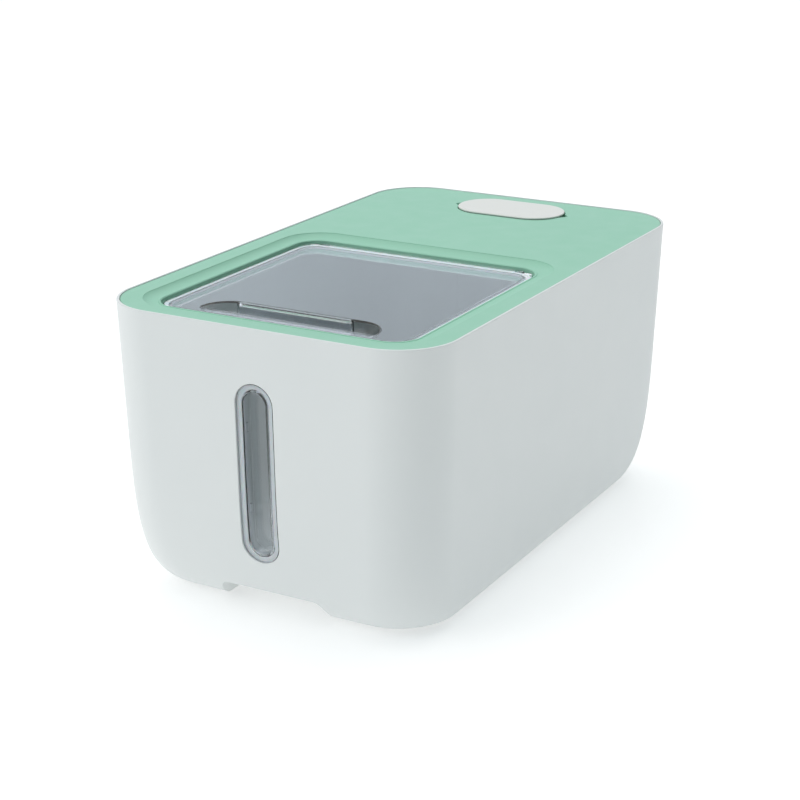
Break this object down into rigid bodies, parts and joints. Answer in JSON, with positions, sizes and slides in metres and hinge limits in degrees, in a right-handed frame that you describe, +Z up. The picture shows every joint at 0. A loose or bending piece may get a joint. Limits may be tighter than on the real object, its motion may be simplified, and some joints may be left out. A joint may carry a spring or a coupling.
{
  "type": "pet food bin",
  "caption": "Low white bin with a drop-in mint cover, a clear hinged flip lid with a grip bar, a pull-out desiccant basket and a clear front window.",
  "frame": {"origin": "middle of the footprint, on the surface the bin stands on", "axes": "+Z up, +Y towards the back (the window is in the -Y wall), +X to the right seen from the front"},
  "size_m": [0.245, 0.41, 0.2008],
  "materials": {
    "shell": "satin white moulded plastic",
    "cover": "satin mint moulded plastic",
    "clear": "clear glossy moulded plastic",
    "silicone": "soft translucent white silicone",
    "cap": "satin off-white moulded plastic",
    "basket": "satin white moulded plastic",
    "sachet": "white non-woven fabric",
    "foot_pad": "matt grey rubber",
    "pin": "drawn stainless steel"
  },
  "bodies": {
    "tub": {"bin_shell": "shell", "window_lens": "clear", "window_seal": "silicone", "foot_pad_1": "foot_pad", "foot_pad_2": "foot_pad", "foot_pad_3": "foot_pad", "foot_pad_4": "foot_pad"},
    "cover_part": {"cover": "cover", "cover_seal": "silicone"},
    "lid": {"clear_lid": "clear", "lid_gasket": "silicone", "hinge_pin_left": "pin", "hinge_pin_right": "pin"},
    "basket": {"desiccant_basket": "basket", "basket_seal": "silicone", "desiccant_sachet": "sachet"},
    "cap": {"desiccant_cap": "cap"}
  },
  "joints": [
    {"name": "cover_lift", "type": "slide", "parent": "tub", "child": "cover_part", "axis": [0, 0, 1], "range_m": [0, 0.1]},
    {"name": "lid_hinge", "type": "hinge", "parent": "cover_part", "child": "lid", "pos_m": [0, 0.015, 0.1934], "axis": [-1, 0, 0], "range_deg": [0, 95]},
    {"name": "basket_lift", "type": "slide", "parent": "cover_part", "child": "basket", "axis": [0, 0, 1], "range_m": [0, 0.045]},
    {"name": "cap_lift", "type": "slide", "parent": "basket", "child": "cap", "axis": [0, 0, 1], "range_m": [0, 0.02]}
  ]
}
